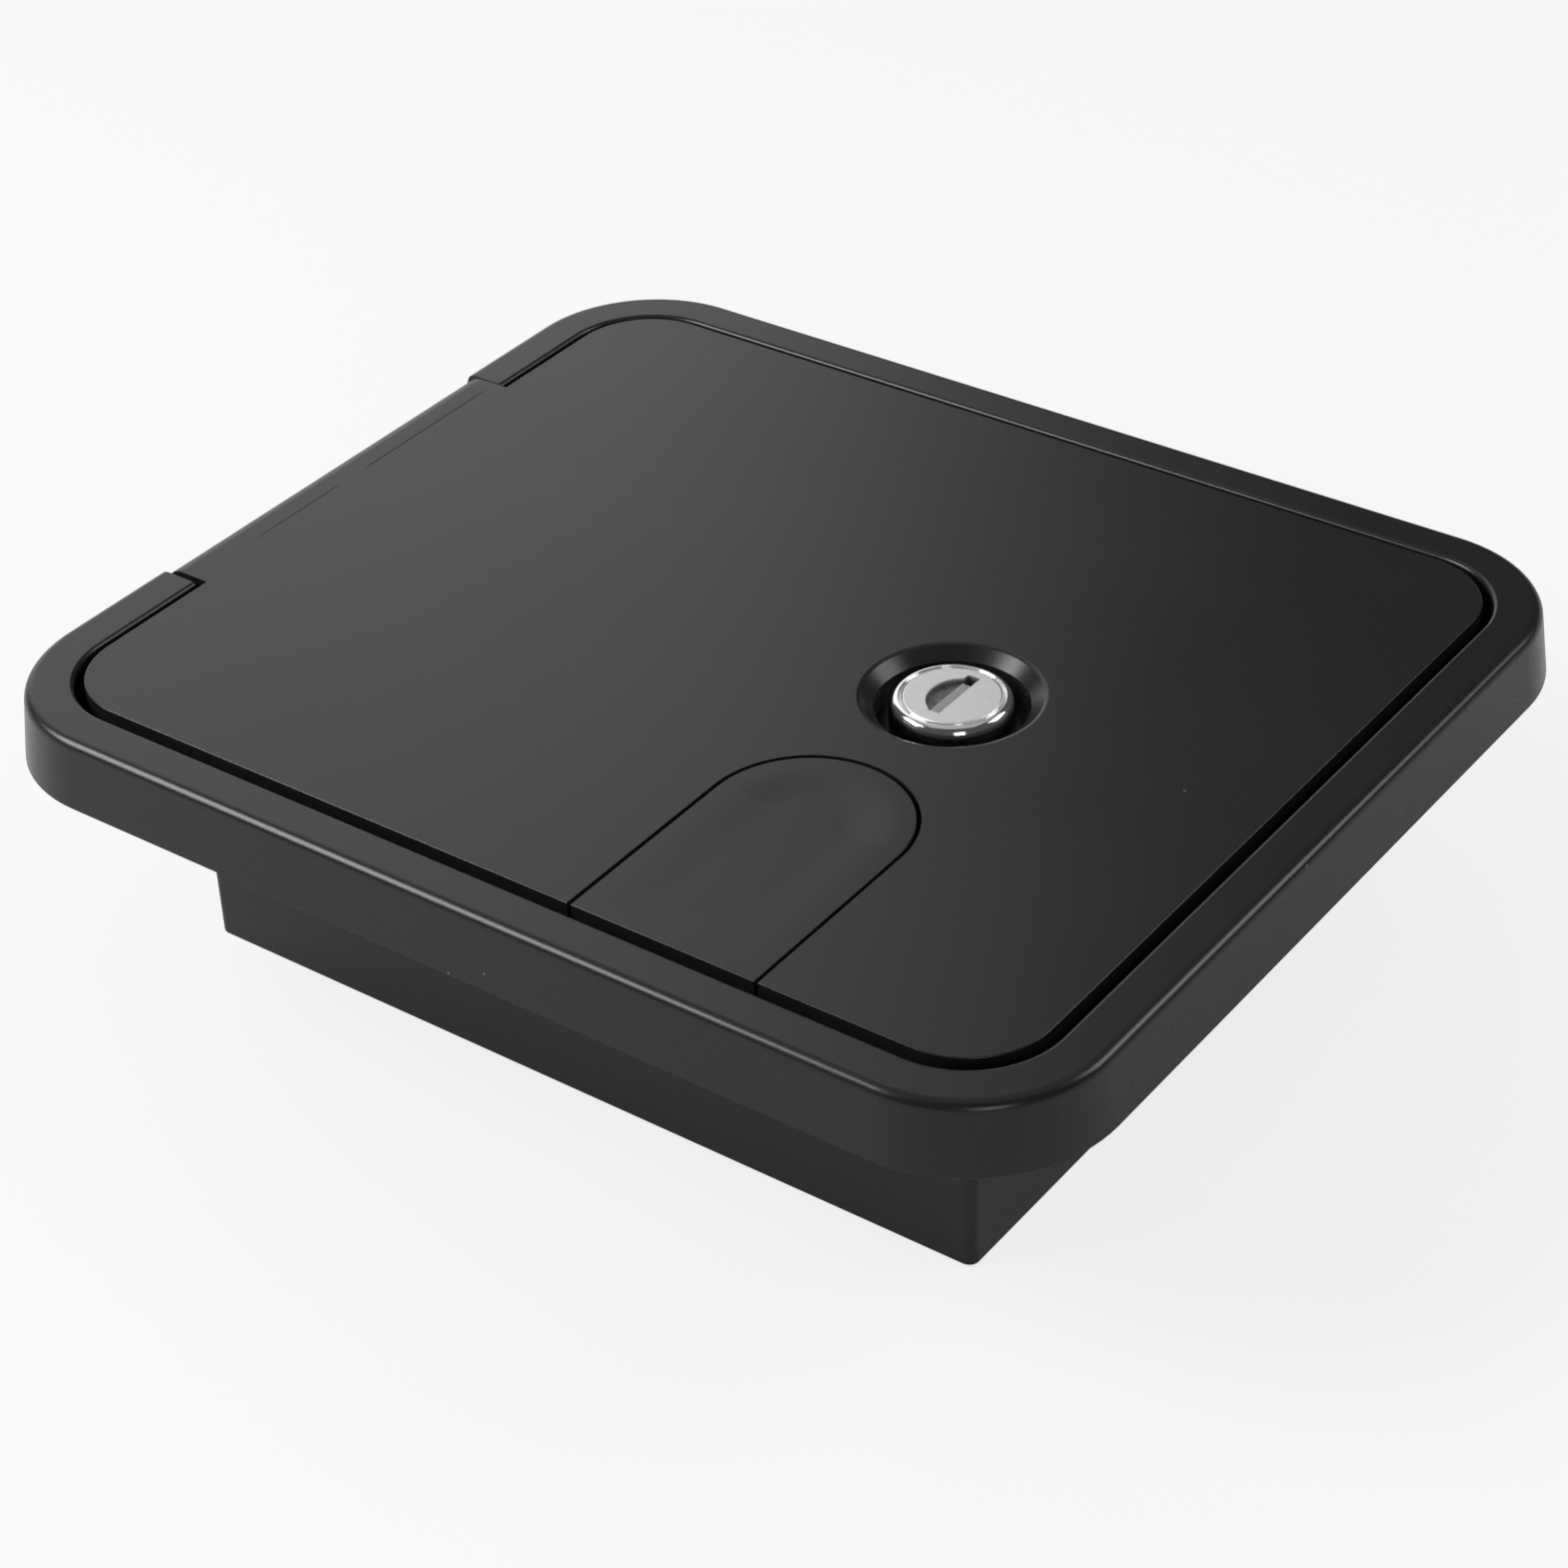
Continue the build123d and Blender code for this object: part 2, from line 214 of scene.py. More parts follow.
# Steps of round stretches, and the margin by which a cutting tool or a test goes past a face
corner_steps = 20
circle_steps = 96
edge_steps = 5
over = 1.0

# Distances under which points are one or lie on a face or a curve, and angles over which an edge counts
merge_distance = 1e-5
weld_distance = 1e-4
sliver_length = 1e-3
face_tolerance = 0.01
curve_tolerance = 0.05
flat_angle = math.radians(0.2)
bevel_angle = math.radians(35)
crisp_angle = math.radians(38)

# Directions along the axes, and the two that span the plane across each
direction = {"X": Vector((1, 0, 0)), "Y": Vector((0, 1, 0)), "Z": Vector((0, 0, 1))}
plane_across = {"X": "YZ", "Y": "ZX", "Z": "XY"}

# Camera, fitted to the straight edges of the photograph
view_azimuth = math.radians(37.33)
view_elevation = math.radians(34.86)
view_roll = math.radians(-2.47)
view_distance = 623.19
view_aim = Vector((26.36, -36.95, front_face))
view_lens = 86.72
view_near = 10.0

# Floor: its half width, its share of white in the camera and in reflections, and the share of the foot
# painted in shade
floor_half = 4000.0
floor_white = 0.8
floor_mirrored = 0.15
foot_shade = 0.98

# Surroundings: azimuths of the bright wall's two edges and how softly they blend, the heights over which
# the wall and the white horizon fade out, and the greys of the room
wall_start = 124.8
wall_start_blend = 0.06
wall_end = 168.0
wall_end_blend = 0.1
wall_top = (0.66, 0.86)
horizon_top = (0.03, 0.10)
room_grey = 0.08
wall_grey = 1.3


# Outlines and skins

def arc(centre, radius, start, end, steps=edge_steps):
    """Points of an arc in a section, from a start angle to an end angle in degrees."""
    turns = [math.radians(start + (end - start) * step / steps) for step in range(steps + 1)]
    return [(centre[0] + radius * math.cos(turn), centre[1] + radius * math.sin(turn)) for turn in turns]


def rounded_rectangle(outline, inset, z):
    """Loop of points round a rectangle with round corners, set in from its outline."""
    half_x, half_y, corner = (size - inset for size in outline)
    loop = []
    for quarter, (side_x, side_y) in enumerate(((1, 1), (-1, 1), (-1, -1), (1, -1))):
        middle = (side_x * (half_x - corner), side_y * (half_y - corner))
        bend = arc(middle, corner, 90 * quarter, 90 * quarter + 90, corner_steps)
        loop += [Vector((x, y, z)) for x, y in bend]
    return loop


def rectangle_rows(outline, section):
    """Rounded rectangles for the (inset, height) points of a section."""
    return [rounded_rectangle(outline, inset, z) for inset, z in section]


def circle(centre, radius, axis="Z", steps=circle_steps):
    """Loop of points round a circle that faces along an axis."""
    across, up = (direction[name] for name in plane_across[axis])
    loop = []
    for step in range(steps):
        turn = math.tau * step / steps
        loop.append(Vector(centre) + radius * (math.cos(turn) * across + math.sin(turn) * up))
    return loop


def turned_rows(section):
    """Circles about the lock's axis for the (radius, height) points of a section."""
    return [circle((lock.x, 0, z), radius) for radius, z in section]


def flatted_circle(radius, flat, z):
    """Circle about the lock's axis with two flats."""
    return [Vector((point.x, max(-flat, min(flat, point.y)), z)) for point in circle((lock.x, 0, z), radius)]


def u_loop(half_width, foot, z, foot_z=None):
    """Loop of points round the cord outlet's U, seen from the front."""
    foot_z = z if foot_z is None else foot_z
    bend = arc((tilt.x, tilt.y), half_width, 0, 180, 2 * corner_steps)
    ends = [(tilt.x - half_width, foot), (tilt.x + half_width, foot)]
    return [Vector((x, y, z)) for x, y in bend] + [Vector((x, y, foot_z)) for x, y in ends]


def new_piece(name, points, faces):
    """New object from points and faces, with its faces turned outwards."""
    mesh = bpy.data.meshes.new(name)
    mesh.from_pydata([tuple(point) for point in points], [], faces)
    shape = bmesh.new()
    shape.from_mesh(mesh)
    bmesh.ops.remove_doubles(shape, verts=shape.verts, dist=merge_distance)
    bmesh.ops.recalc_face_normals(shape, faces=shape.faces)
    shape.to_mesh(mesh)
    shape.free()
    piece = bpy.data.objects.new(name, mesh)
    bpy.context.scene.collection.objects.link(piece)
    return piece


def skin(name, rows, closed=False):
    """Skin over a row of equal loops, which closes on itself or has a cap at each end."""
    count = len(rows[0])
    faces = []
    for row in range(len(rows) if closed else len(rows) - 1):
        here = row * count
        there = (row + 1) % len(rows) * count
        for step in range(count):
            after = (step + 1) % count
            faces.append((here + step, here + after, there + after, there + step))
    if not closed:
        last = (len(rows) - 1) * count
        faces.append(tuple(reversed(range(count))))
        faces.append(tuple(range(last, last + count)))
    return new_piece(name, [point for row in rows for point in row], faces)


def block(name, low, high):
    """Box between two corners."""
    low, high = Vector(low), Vector(high)
    plan = ((low.x, low.y), (high.x, low.y), (high.x, high.y), (low.x, high.y))
    return skin(name, [[Vector((x, y, z)) for x, y in plan] for z in (low.z, high.z)])


def plate(name, outline, low, high):
    """Flat plate of an outline in the plane of the wall."""
    return skin(name, [[Vector((x, y, z)) for x, y in outline] for z in (low, high)])


def rod(name, centre, radius, axis, half_length, end_edge):
    """Round rod with bevelled ends, about a centre."""
    ends = ((-half_length, radius - end_edge), (end_edge - half_length, radius))
    section = [*ends, *[(-place, size) for place, size in reversed(ends)]]
    rows = []
    for place, size in section:
        rows.append(circle(Vector(centre) + place * direction[axis], size, axis, circle_steps // 2))
    return skin(name, rows)


# Joining, cutting and softening

def settle(piece):
    """Turn a piece with modifiers into a plain mesh."""
    bpy.context.view_layer.update()
    evaluated = piece.evaluated_get(bpy.context.evaluated_depsgraph_get())
    mesh = bpy.data.meshes.new_from_object(evaluated)
    piece.modifiers.clear()
    piece.data = mesh


def combine(piece, operation, *tools):
    """Join tools to a piece or cut them out of it, one after the other."""
    for tool in tools:
        step = piece.modifiers.new(tool.name, "BOOLEAN")
        step.operation = operation
        step.solver = "EXACT"
        step.object = tool
    settle(piece)
    shape = bmesh.new()
    shape.from_mesh(piece.data)
    bmesh.ops.dissolve_degenerate(shape, dist=sliver_length, edges=shape.edges)
    shape.to_mesh(piece.data)
    shape.free()
    for tool in tools:
        bpy.data.objects.remove(tool)


def soften(piece, width, chosen, segments=2):
    """Round the sharp edges whose two ends are chosen."""
    shape = bmesh.new()
    shape.from_mesh(piece.data)
    bmesh.ops.remove_doubles(shape, verts=shape.verts, dist=weld_distance)
    bmesh.ops.dissolve_limit(shape, angle_limit=flat_angle, verts=shape.verts, edges=shape.edges)
    edges = [
        edge for edge in shape.edges
        if len(edge.link_faces) == 2
        and edge.calc_face_angle() > bevel_angle
        and all(chosen(vert.co) for vert in edge.verts)
    ]
    bmesh.ops.bevel(
        shape, geom=edges, offset=width, offset_type="OFFSET", segments=segments,
        profile=0.5, affect="EDGES", clamp_overlap=True,
    )
    shape.to_mesh(piece.data)
    shape.free()


def hand_over(piece, body, material, slot, *nodes):
    """Finish a piece: metres, smooth shading with crisp edges, its material, and its place in the frame."""
    piece.data.transform(Matrix.Scale(MILLIMETRE, 4))
    piece.data.shade_smooth()
    piece.data.set_sharp_from_angle(angle=crisp_angle)
    even = piece.modifiers.new("even_normals", "WEIGHTED_NORMAL")
    even.keep_sharp = True
    settle(piece)
    piece.data.materials.clear()
    piece.data.materials.append(material)
    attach(piece, body)
    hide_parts(*nodes)


# Shader trees

class Wire:
    """An output socket of a shader tree. Sums on wires add Math nodes."""

    def __init__(self, shader, socket):
        self.shader = shader
        self.socket = socket

    def math(self, operation, first, second):
        """Math node on two wires, or on a wire and a number."""
        return self.shader.node("ShaderNodeMath", {"operation": operation}, {0: first, 1: second})

    def __add__(self, other):
        return self.math("ADD", self, other)

    def __radd__(self, other):
        return self.math("ADD", other, self)

    def __sub__(self, other):
        return self.math("SUBTRACT", self, other)

    def __rsub__(self, other):
        return self.math("SUBTRACT", other, self)

    def __mul__(self, other):
        return self.math("MULTIPLY", self, other)

    def __rmul__(self, other):
        return self.math("MULTIPLY", other, self)


class Shader:
    """A node tree, with one method that adds any node to it."""

    # Sockets of a Mix node that blends colours
    MIX = {"factor": 0, "a": 6, "b": 7, "result": 2}

    def __init__(self, tree):
        self.tree = tree

    def node(self, kind, settings=None, sockets=None, output=0):
        """Add a node: its settings first, then the values or wires of its sockets."""
        made = self.tree.nodes.new(kind)
        for setting, value in (settings or {}).items():
            setattr(made, setting, value)
        for socket, value in (sockets or {}).items():
            self.plug(made.inputs[socket], value)
        return Wire(self, made.outputs[output]) if made.outputs else None

    def plug(self, socket, value):
        """Set a socket to a value, or link a wire to it."""
        if isinstance(value, Wire):
            self.tree.links.new(value.socket, socket)
        else:
            socket.default_value = value

    def place(self):
        """Place on the piece, in metres."""
        return self.node("ShaderNodeTexCoord", output="Object")

    def noise(self, place, scale, detail=2.0):
        """Soft noise between 0 and 1."""
        return self.node("ShaderNodeTexNoise", None, {"Vector": place, "Scale": scale, "Detail": detail})

    def fade(self, value, low, high):
        """Smooth step from 0 at low to 1 at high."""
        return self.node(
            "ShaderNodeMapRange", {"interpolation_type": "SMOOTHSTEP"},
            {"Value": value, "From Min": low, "From Max": high},
        )

    def mix(self, factor, first, second):
        """Blend of two colours."""
        return self.node(
            "ShaderNodeMix", {"data_type": "RGBA"},
            {self.MIX["factor"]: factor, self.MIX["a"]: first, self.MIX["b"]: second},
            self.MIX["result"],
        )

    def bump(self, height, strength, depth):
        """Fine relief of the surface, its depth in metres."""
        return self.node("ShaderNodeBump", None, {"Height": height, "Strength": strength, "Distance": depth})


def new_finish(name, constants):
    """New material with constant values on its shader, and its tree and shader."""
    material = bpy.data.materials.new(name)
    material.use_nodes = True
    surface = material.node_tree.nodes["Principled BSDF"]
    for socket, value in constants.items():
        surface.inputs[socket].default_value = value
    return material, Shader(material.node_tree), surface.inputs


def grey(level, warmth=0.0):
    """Neutral colour, a little warmer or cooler."""
    return (level * (1 + warmth), level, level * (1 - warmth), 1.0)


def black_plastic_finish():
    """Satin moulded plastic with a fine eroded grain, faint flow clouds and a few specks of dust."""
    material, tree, surface = new_finish("satin_black_plastic", {"IOR": 1.4})
    place = tree.place()
    grain = tree.noise(place, 3800.0, 3.0)
    cloud = tree.noise(place, 22.0, 3.0)
    specks = tree.node(
        "ShaderNodeTexVoronoi", None, {"Vector": place, "Scale": 85.0, "Randomness": 1.0}, "Distance"
    )
    thinning = tree.noise(place, 61.0, 0.0)
    dust = (1 - tree.fade(specks, 0.012, 0.030)) * tree.fade(thinning, 0.57, 0.61)
    resin = tree.mix(cloud, grey(0.0085), grey(0.0115))
    tree.plug(surface["Base Color"], tree.mix(dust * 0.6, resin, grey(0.22, 0.02)))
    tree.plug(surface["Roughness"], 0.22 + cloud * 0.06 + grain * 0.05 + dust * 0.3)
    tree.plug(surface["Normal"], tree.bump(grain, 0.08, 0.00002))
    return material


def rubber_finish():
    """Matt seal rubber with a faint bloom."""
    material, tree, surface = new_finish("seal_rubber", {"IOR": 1.5})
    place = tree.place()
    grain = tree.noise(place, 2600.0, 3.0)
    bloom = tree.noise(place, 70.0, 4.0)
    tree.plug(surface["Base Color"], tree.mix(bloom, grey(0.014), grey(0.030)))
    tree.plug(surface["Roughness"], 0.66 + bloom * 0.2)
    tree.plug(surface["Normal"], tree.bump(grain, 0.35, 0.00004))
    return material


def chrome_finish():
    """Polished chrome with faint smears."""
    material, tree, surface = new_finish("polished_chrome", {"Metallic": 1.0})
    place = tree.place()
    smear = tree.noise(place, 420.0, 4.0)
    tree.plug(surface["Base Color"], tree.mix(smear, grey(0.78), grey(0.86)))
    tree.plug(surface["Roughness"], 0.05 + smear * 0.07)
    return material


def satin_nickel_finish():
    """Satin plated lock face with fine turning rings about the lock's axis, and painted shade below its
    face.
    """
    material, tree, surface = new_finish("satin_nickel", {"Metallic": 1.0})
    place = tree.place()
    middle = tuple(Vector((lock.x, lock.y, 0)) * MILLIMETRE)
    offset = tree.node("ShaderNodeVectorMath", {"operation": "SUBTRACT"}, {0: place, 1: middle})
    flat = tree.node("ShaderNodeVectorMath", {"operation": "MULTIPLY"}, {0: offset, 1: (1, 1, 0)})
    radius = tree.node("ShaderNodeVectorMath", {"operation": "LENGTH"}, {0: flat}, "Value")
    rings = tree.node(
        "ShaderNodeTexNoise", {"noise_dimensions": "1D"}, {"W": radius, "Scale": 5200.0, "Detail": 2.0}
    )
    mottle = tree.noise(place, 900.0, 4.0)
    height = tree.node("ShaderNodeSeparateXYZ", None, {0: place}, "Z")
    face = plug_high.z * MILLIMETRE
    # Painted shade: the core turns dark grey and rougher below its face, in the key slot and the half-moon
    # lead-in
    recess_shade = 1 - tree.fade(height, face - 0.7 * MILLIMETRE, face - 0.15 * MILLIMETRE)
    plating = tree.mix(mottle, grey(0.74), grey(0.86))
    tree.plug(surface["Base Color"], tree.mix(recess_shade * (0.62 + mottle * 0.45), plating, grey(0.12)))
    tree.plug(surface["Roughness"], 0.34 + rings * 0.1 + mottle * 0.08 + recess_shade * 0.2)
    tree.plug(surface["Normal"], tree.bump(rings * 0.5 + mottle * 0.5, 0.2, 0.00002))
    return material


def zinc_finish():
    """Bright zinc on steel, with a cloudy passivated tint."""
    material, tree, surface = new_finish("zinc_plated_steel", {"Metallic": 1.0})
    place = tree.place()
    cloud = tree.noise(place, 160.0, 4.0)
    grain = tree.noise(place, 2400.0, 2.0)
    tree.plug(surface["Base Color"], tree.mix(cloud, (0.50, 0.52, 0.55, 1), (0.64, 0.63, 0.60, 1)))
    tree.plug(surface["Roughness"], 0.26 + cloud * 0.16 + grain * 0.06)
    tree.plug(surface["Normal"], tree.bump(grain, 0.15, 0.00002))
    return material


def shutter_finish():
    """Dull grey of the bar in the key slot."""
    material, tree, surface = new_finish("dull_grey_steel", {"Metallic": 1.0})
    stain = tree.noise(tree.place(), 1400.0, 3.0)
    tree.plug(surface["Base Color"], tree.mix(stain, grey(0.34), grey(0.46)))
    tree.plug(surface["Roughness"], 0.42 + stain * 0.15)
    return material


black_plastic = black_plastic_finish()
seal_rubber = rubber_finish()
chrome = chrome_finish()
satin_nickel = satin_nickel_finish()
zinc_steel = zinc_finish()
shutter_steel = shutter_finish()


# Geometry node trees

def node_tree(name, inputs):
    """Empty geometry tree with named inputs, its input and output nodes, and the inputs' identifiers."""
    tree = bpy.data.node_groups.new(name, "GeometryNodeTree")
    tree.interface.new_socket(name="Geometry", in_out="OUTPUT", socket_type="NodeSocketGeometry")
    identifiers = {}
    for label, kind in inputs.items():
        socket = tree.interface.new_socket(name=label, in_out="INPUT", socket_type=kind)
        identifiers[label] = socket.identifier
    return tree, tree.nodes.new("NodeGroupInput"), tree.nodes.new("NodeGroupOutput"), identifiers


def link_row(tree, *pairs):
    """Link output sockets to input sockets, pair by pair."""
    for start, end in pairs:
        tree.links.new(start, end)


def hand_out(tree, given, result, shape):
    """End of a tree: make instances real, give the shape its finish and hand it out."""
    realize = tree.nodes.new("GeometryNodeRealizeInstances")
    paint = tree.nodes.new("GeometryNodeSetMaterial")
    link_row(
        tree,
        (shape, realize.inputs["Geometry"]),
        (realize.outputs["Geometry"], paint.inputs["Geometry"]),
        (given.outputs["Finish"], paint.inputs["Material"]),
        (paint.outputs["Geometry"], result.inputs["Geometry"]),
    )


def grown(name, tree, identifiers, values):
    """Plain mesh that a geometry tree makes from the values of its inputs."""
    piece = new_piece(name, [], [])
    growth = piece.modifiers.new(tree.name, "NODES")
    growth.node_group = tree
    for label, value in values.items():
        growth[identifiers[label]] = value
    settle(piece)
    return piece


def rib_row_tree():
    """Tree that sets out a row of equal ribs."""
    tree, given, result, identifiers = node_tree("rib_row", {
        "Count": "NodeSocketInt",
        "First": "NodeSocketVector",
        "Step": "NodeSocketVector",
        "Rib Size": "NodeSocketVector",
        "Finish": "NodeSocketMaterial",
    })
    line = tree.nodes.new("GeometryNodeMeshLine")
    line.mode = "OFFSET"
    rib = tree.nodes.new("GeometryNodeMeshCube")
    place = tree.nodes.new("GeometryNodeInstanceOnPoints")
    link_row(
        tree,
        (given.outputs["Count"], line.inputs["Count"]),
        (given.outputs["First"], line.inputs["Start Location"]),
        (given.outputs["Step"], line.inputs["Offset"]),
        (given.outputs["Rib Size"], rib.inputs["Size"]),
        (line.outputs["Mesh"], place.inputs["Points"]),
        (rib.outputs["Mesh"], place.inputs["Instance"]),
    )
    hand_out(tree, given, result, place.outputs["Instances"])
    return tree, identifiers


rib_tree, rib_inputs = rib_row_tree()


def rib_row(name, count, first, step, size):
    """Row of black ribs: the first rib's middle, the step to the next and the size of one."""
    values = {
        "Count": count, "First": tuple(first), "Step": tuple(step),
        "Rib Size": tuple(size), "Finish": black_plastic,
    }
    return grown(name, rib_tree, rib_inputs, values)


def seal_tree():
    """Tree that sweeps a round-sided section round a rounded rectangle."""
    tree, given, result, identifiers = node_tree("seal_sweep", {
        "Length": "NodeSocketFloat",
        "Width": "NodeSocketFloat",
        "Corner": "NodeSocketFloat",
        "Section Width": "NodeSocketFloat",
        "Section Height": "NodeSocketFloat",
        "Section Round": "NodeSocketFloat",
        "Middle": "NodeSocketVector",
        "Finish": "NodeSocketMaterial",
    })
    path = tree.nodes.new("GeometryNodeCurvePrimitiveQuadrilateral")
    path_bend = tree.nodes.new("GeometryNodeFilletCurve")
    section = tree.nodes.new("GeometryNodeCurvePrimitiveQuadrilateral")
    section_bend = tree.nodes.new("GeometryNodeFilletCurve")
    for bend, steps in ((path_bend, corner_steps), (section_bend, 2 * edge_steps)):
        bend.mode = "POLY"
        bend.inputs["Count"].default_value = steps
    upright = tree.nodes.new("GeometryNodeSetCurveNormal")
    upright.mode = "Z_UP"
    sweep = tree.nodes.new("GeometryNodeCurveToMesh")
    move = tree.nodes.new("GeometryNodeTransform")
    link_row(
        tree,
        (given.outputs["Length"], path.inputs["Width"]),
        (given.outputs["Width"], path.inputs["Height"]),
        (path.outputs["Curve"], path_bend.inputs["Curve"]),
        (given.outputs["Corner"], path_bend.inputs["Radius"]),
        (path_bend.outputs["Curve"], upright.inputs["Curve"]),
        (upright.outputs["Curve"], sweep.inputs["Curve"]),
        (given.outputs["Section Width"], section.inputs["Width"]),
        (given.outputs["Section Height"], section.inputs["Height"]),
        (section.outputs["Curve"], section_bend.inputs["Curve"]),
        (given.outputs["Section Round"], section_bend.inputs["Radius"]),
        (section_bend.outputs["Curve"], sweep.inputs["Profile Curve"]),
        (sweep.outputs["Mesh"], move.inputs["Geometry"]),
        (given.outputs["Middle"], move.inputs["Translation"]),
    )
    hand_out(tree, given, result, move.outputs["Geometry"])
    return tree, identifiers


# Frame body

def frame_moulding():
    """Drafted flange, rebate, ledge and sleeve as one skin, with webs, hinge notch and strike lip."""
    flange = (frame_high.x, frame_high.y, flange_corner)
    opening = (flange[0] - border, flange[1] - border, flange_corner - border)
    sleeve = (*sleeve_half, sleeve_corner)
    bore = (sleeve[0] - sleeve_wall, sleeve[1] - sleeve_wall, bore_corner)
    lean = math.tan(flange_draft)
    crown_z = front_face - flange_edge
    crown_inset = (crown_z - wall_face) * lean + flange_edge / math.cos(flange_draft)
    outer = [
        *arc((foot_edge, wall_face + foot_edge), foot_edge, 270, 180),
        *arc((crown_inset, crown_z), flange_edge, 180 - math.degrees(flange_draft), 90, 2 * edge_steps),
        *arc((border - opening_edge, front_face - opening_edge), opening_edge, 90, 0),
        *arc((border + small_edge, ledge_face + small_edge), small_edge, 180, 270),
    ]
    way_through = [
        *arc((-small_edge, ledge_face - small_edge), small_edge, 90, 0),
        *arc((-small_edge, small_edge), small_edge, 0, -90),
    ]
    outside = [*arc((small_edge, small_edge), small_edge, 270, 180), (0, wall_face)]
    trench_top = front_face - flange_skin
    trench_inner = [(-opening_wall, wall_face), (-opening_wall, trench_top)]
    trench_outer = [(flange_rim, trench_top), (flange_rim, wall_face)]
    rows = [
        *rectangle_rows(flange, outer),
        *rectangle_rows(bore, way_through),
        *rectangle_rows(sleeve, outside),
        *rectangle_rows(opening, trench_inner),
        *rectangle_rows(flange, trench_outer),
    ]
    moulding = skin("frame_moulding", rows, closed=True)

    # Webs across the hollow flange, and the solid stretch beside the hinge
    web_foot = wall_face + web_recess
    web_top = trench_top + flange_skin / 2
    web_height = web_top - web_foot
    web_middle = (web_foot + web_top) / 2
    web_length = border - opening_wall - flange_rim + 2 * web_root
    trench_middle = (flange_rim + border - opening_wall) / 2
    first = -(web_count - 1) / 2 * web_pitch
    for side, label in ((1, "upper"), (-1, "lower")):
        webs = rib_row(
            f"{label}_webs", web_count, (first, side * (flange[1] - trench_middle), web_middle),
            (web_pitch, 0, 0), (web_thickness, web_length, web_height),
        )
        combine(moulding, "UNION", webs)
    side_webs = rib_row(
        "lock_side_webs", web_count, (flange[0] - trench_middle, first, web_middle),
        (0, web_pitch, 0), (web_length, web_thickness, web_height),
    )
    notch_half = leaf_half + leaf_gap
    filler_half = notch_half + hinge_block
    filler = block(
        "hinge_block", (-flange[0] + flange_rim / 2, -filler_half, wall_face + web_recess / 4),
        (-opening[0] - opening_wall / 2, filler_half, web_top),
    )
    lip_foot = cam_high.z + strike_gap
    lip_top = lip_foot + strike_thickness
    lip_edge = bore[0] - strike_reach
    lip_root = bore[0] + sleeve_wall / 2
    lip = block(
        "strike_lip", (lip_edge, -strike_width / 2, lip_foot), (lip_root, strike_width / 2, lip_top)
    )
    soften(lip, small_edge, lambda point: point.x < bore[0])
    gusset_outline = (
        (lip_edge + small_edge, lip_top - small_edge), (lip_root, lip_top - small_edge),
        (lip_root, lip_top + gusset_height), (bore[0], lip_top + gusset_height),
    )
    gussets = []
    for side in (-1, 1):
        middle = side * (strike_width - gusset_thickness) / 2
        faces_y = (middle - gusset_thickness / 2 + small_edge, middle + gusset_thickness / 2 - small_edge)
        gussets.append(skin(
            "strike_gusset", [[Vector((x, y, z)) for x, z in gusset_outline] for y in faces_y]
        ))
    combine(moulding, "UNION", side_webs, filler, lip, *gussets)

    # Notch for the hinge leaf, bores for its pin, and screw holes in the ledge
    notch_floor = hinge.z - knuckle_radius - knuckle_clearance
    notch_end = -opening[0] + leaf_gap
    notch = block(
        "hinge_notch", (-flange[0] - border, -notch_half, notch_floor),
        (notch_end, notch_half, front_face + border),
    )
    bore_half = half_size("hinge_pin", "Y") + pin_fit
    bores = rod("pin_bores", hinge, half_size("hinge_pin", "X") + pin_fit, "Y", bore_half, pin_fit)
    hole = screw_pattern["hole_r_mm"]
    sink_section = (
        (hole, wall_face - hole), (hole, ledge_face - screw_head + hole),
        (screw_head, ledge_face), (screw_head, ledge_face + hole),
    )
    sinks = []
    for side_x in (-1, 1):
        for side_y in (-1, 1):
            x = side_x * screw_pattern["spacing_x_mm"] / 2
            y = side_y * screw_pattern["spacing_y_mm"] / 2
            loops = [circle((x, y, z), radius, "Z", circle_steps // 2) for radius, z in sink_section]
            sinks.append(skin("screw_sink", loops))
    combine(moulding, "DIFFERENCE", notch, bores, *sinks)
    soften(
        moulding, small_edge,
        lambda point: point.x < notch_end and point.z > notch_floor + over
        and abs(abs(point.y) - notch_half) < face_tolerance,
    )
    hand_over(moulding, "frame", black_plastic, "black_plastic", "frame")


def weather_seal():
    """Rubber seal of a round-sided section on the ledge."""
    tree, identifiers = seal_tree()
    height = seal_high.z - seal_low.z
    margin = frame_high.x - border - seal_high.x
    seal = grown("rubber_seal", tree, identifiers, {
        "Length": seal_high.x - seal_low.x - seal_width,
        "Width": seal_high.y - seal_low.y - seal_width,
        "Corner": flange_corner - border - margin - seal_width / 2,
        "Section Width": seal_width,
        "Section Height": height,
        "Section Round": height * seal_round,
        "Middle": (0, 0, (seal_low.z + seal_high.z) / 2),
        "Finish": seal_rubber,
    })
    hand_over(seal, "frame", seal_rubber, "seal_rubber", "weather_seal")


def pin(name, node, body, axis):
    """Plain steel pin with bevelled ends."""
    low, high = node_box(node)
    radius = min(high - low) / 2
    piece = rod(name, (low + high) / 2, radius, axis, half_size(node, axis), small_edge)
    hand_over(piece, body, zinc_steel, "steel", node)


# Door body

